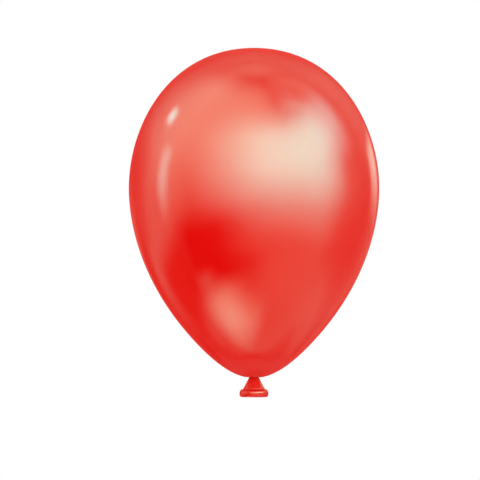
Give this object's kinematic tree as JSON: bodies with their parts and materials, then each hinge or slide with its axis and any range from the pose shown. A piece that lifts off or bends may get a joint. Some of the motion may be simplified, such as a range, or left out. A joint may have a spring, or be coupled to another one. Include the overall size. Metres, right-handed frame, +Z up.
{
  "type": "latex balloon",
  "caption": "Inflated pear-shaped latex balloon: a thin hollow skin tied off by an overhand knot in a dimple, with a flared tail and a rolled mouth rim that twist and swing under it.",
  "frame": {"origin": "middle of the pinched neck, on the balloon's axis, where a ribbon is tied and where the tail turns", "axes": "+Z up the balloon's axis to the crown; X and Y across it, with the picture taken from -Y"},
  "size_m": [0.2504, 0.2504, 0.3491],
  "materials": {
    "envelope": "blown latex, satin, red",
    "neck_knot": "tied latex, matt, deep red",
    "tail_skirt": "slack latex, satin, red",
    "mouth_bead": "rolled latex, satin, red"
  },
  "bodies": {
    "bulb": {"envelope": "envelope"},
    "knot": {"neck_knot": "neck_knot"},
    "tail": {"tail_skirt": "tail_skirt", "mouth_bead": "mouth_bead"}
  },
  "joints": [
    {"name": "neck_twist", "type": "hinge", "parent": "bulb", "child": "knot", "pos_m": [0, 0, 0], "axis": [0, 0, 1], "range_deg": [-180, 180], "stiffness_Nm_per_rad": 0.0001},
    {"name": "tail_bend", "type": "hinge", "parent": "knot", "child": "tail", "pos_m": [0, 0, 0], "axis": [0, 1, 0], "range_deg": [-30, 30], "stiffness_Nm_per_rad": 0.0002}
  ]
}
